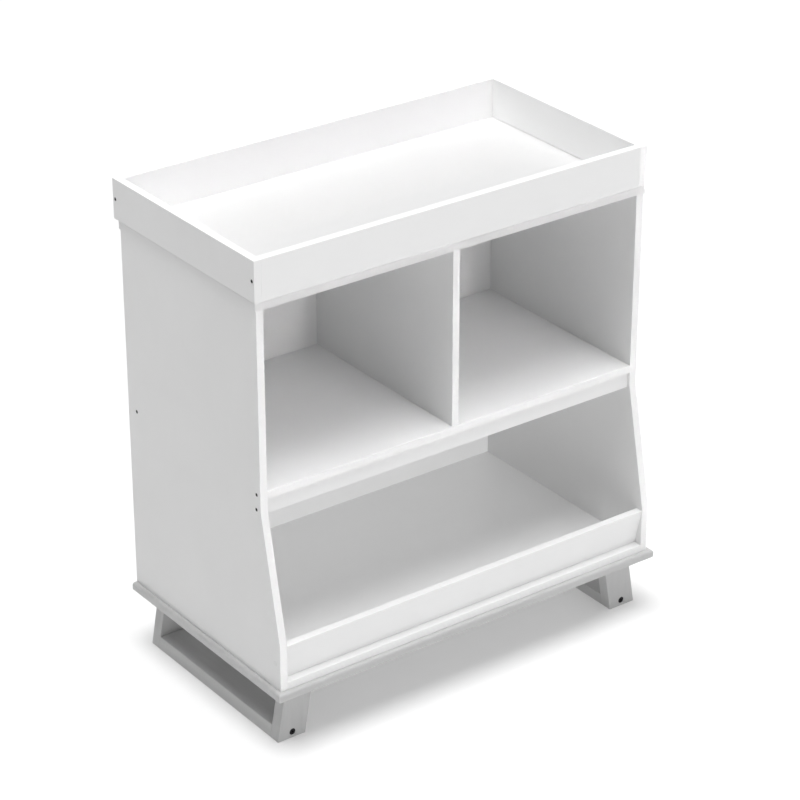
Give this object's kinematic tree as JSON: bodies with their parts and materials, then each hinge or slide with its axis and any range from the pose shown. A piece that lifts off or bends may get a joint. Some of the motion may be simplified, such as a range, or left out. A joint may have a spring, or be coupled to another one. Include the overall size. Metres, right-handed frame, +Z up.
{
  "type": "changing table",
  "caption": "Changing table: open cubby cabinet with a sloped-front lower bin on splayed sled feet, under a tray frame that lifts off its top.",
  "frame": {"origin": "on the floor, below the middle of the whole outline in X and Y", "axes": "+X to the right along the width, +Y to the back, +Z up; the open cubbies and the lower bin face -Y"},
  "size_m": [0.874, 0.5078, 0.945],
  "materials": {
    "white_board": "satin white paint on MDF board",
    "white_back_panel": "white laminated hardboard",
    "grey_paint": "satin grey paint on wood",
    "dark_screw": "black zinc hex-socket screw",
    "zinc_screw": "bright zinc",
    "beech_dowel": "bare fluted beech",
    "white_plastic": "moulded push-in cap"
  },
  "bodies": {
    "cabinet": {"tray_fixing_screws": "dark_screw", "top_panel": "white_board", "left_side_panel": "white_board", "right_side_panel": "white_board", "center_divider": "white_board", "fixed_shelf": "white_board", "shelf_apron": "white_board", "bottom_panel": "white_board", "front_lip": "white_board", "upper_back_panel": "white_back_panel", "lower_back_panel": "white_back_panel", "back_panel_nails": "zinc_screw", "base_plate": "grey_paint", "top_panel_screws": "dark_screw", "shelf_screws": "dark_screw", "divider_screws": "dark_screw", "lip_foot_screws": "zinc_screw", "base_screws": "zinc_screw", "lip_screw_caps": "white_plastic", "panel_dowels": "beech_dowel", "divider_dowels": "beech_dowel", "left_foot_front_leg": "grey_paint", "left_foot_back_leg": "grey_paint", "left_foot_rail": "grey_paint", "left_foot_top_board": "grey_paint", "right_foot_front_leg": "grey_paint", "right_foot_back_leg": "grey_paint", "right_foot_rail": "grey_paint", "right_foot_top_board": "grey_paint", "foot_bolts": "dark_screw", "foot_barrel_nuts": "zinc_screw", "foot_dowels": "beech_dowel", "foot_mounting_screws": "zinc_screw"},
    "tray": {"tray_front_rail": "white_board", "tray_back_rail": "white_board", "tray_left_rail": "white_board", "tray_right_rail": "white_board", "tray_corner_screws": "dark_screw", "tray_corner_dowels": "beech_dowel"}
  },
  "joints": [
    {"name": "tray_lift", "type": "slide", "parent": "cabinet", "child": "tray", "axis": [0, 0, 1], "range_m": [0, 0.12]}
  ]
}
